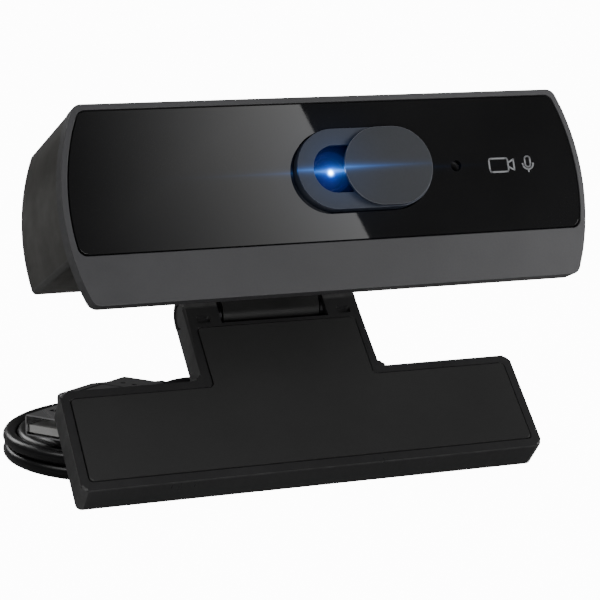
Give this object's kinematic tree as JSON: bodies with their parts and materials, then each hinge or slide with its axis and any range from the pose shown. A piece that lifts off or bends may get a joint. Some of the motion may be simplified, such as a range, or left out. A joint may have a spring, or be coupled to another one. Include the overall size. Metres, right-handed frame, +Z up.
{
  "type": "clip-on webcam",
  "caption": "Wide webcam head with a raised lens island and sliding privacy cover on a friction-hinged T-shaped clip leg, with a coiled data cord.",
  "frame": {"origin": "middle of the rubber pad's face on the clip leg's bar, the face that presses on the back of a screen", "axes": "+X along the head to the right as the person filmed sees it, +Y away from that person, +Z up"},
  "size_m": [0.111, 0.0887, 0.0815],
  "materials": {
    "bezel_plastic": "satin graphite",
    "housing_plastic": "satin graphite",
    "panel_acrylic": "high gloss black",
    "island_plastic": "satin blue grey",
    "cover_plastic": "satin dark grey",
    "lens_glass": "coated, blue sheen",
    "black_plastic": "fine spark texture",
    "leg_plastic": "fine spark texture",
    "pad_rubber": "matte",
    "tape": "matte foam tape",
    "board": "solder mask",
    "chip": "matte",
    "steel": "plain",
    "black_steel": "black oxide",
    "nickel": "nickel plated",
    "cord_rubber": "smooth jacket",
    "plug_plastic": "moulded grey",
    "white_plastic": "plain",
    "led": "clear blue"
  },
  "bodies": {
    "leg": {"leg_frame": "leg_plastic", "leg_pad": "pad_rubber", "leg_back_cover": "leg_plastic", "leg_screw_1": "black_steel", "leg_screw_2": "black_steel", "leg_screw_3": "black_steel", "leg_screw_4": "black_steel", "leg_screw_5": "black_steel", "leg_screw_6": "black_steel", "hinge_pin": "steel", "friction_washer_left": "steel", "friction_washer_right": "steel", "pin_cap_left": "leg_plastic", "pin_cap_right": "leg_plastic", "cord_run": "cord_rubber", "cord_coil": "cord_rubber", "cord_tail": "cord_rubber", "coil_tie": "black_plastic", "usb_boot": "cord_rubber", "usb_overmold": "plug_plastic", "usb_shell": "nickel", "usb_tongue": "white_plastic"},
    "head": {"front_bezel": "bezel_plastic", "lip_pad": "pad_rubber", "front_panel": "panel_acrylic", "panel_tape": "tape", "lens_island": "island_plastic", "lens_window": "lens_glass", "lens_barrel": "black_plastic", "lens_holder": "black_plastic", "front_lens": "lens_glass", "rear_lens": "lens_glass", "infrared_filter": "lens_glass", "image_sensor": "chip", "main_board": "board", "board_screw_left": "steel", "board_screw_right": "steel", "processor": "chip", "microphone": "steel", "microphone_gasket": "pad_rubber", "status_led": "led", "cable_socket": "white_plastic", "inner_lead": "cord_rubber", "rear_housing": "housing_plastic", "housing_screw_1": "steel", "housing_screw_2": "steel", "housing_screw_3": "steel", "housing_screw_4": "steel", "hinge_arm": "black_plastic", "arm_screw_left": "steel", "arm_screw_right": "steel", "strain_relief": "cord_rubber", "cord_lead": "cord_rubber"},
    "cover": {"privacy_cover": "cover_plastic", "cover_clip": "black_plastic"}
  },
  "joints": [
    {"name": "head_tilt", "type": "hinge", "parent": "leg", "child": "head", "pos_m": [0, 0.02543, 0.01803], "axis": [1, 0, 0], "range_deg": [-66.4, 63.6]},
    {"name": "cover_slide", "type": "slide", "parent": "head", "child": "cover", "axis": [-1, 0, 0], "range_m": [0, 0.009]}
  ]
}
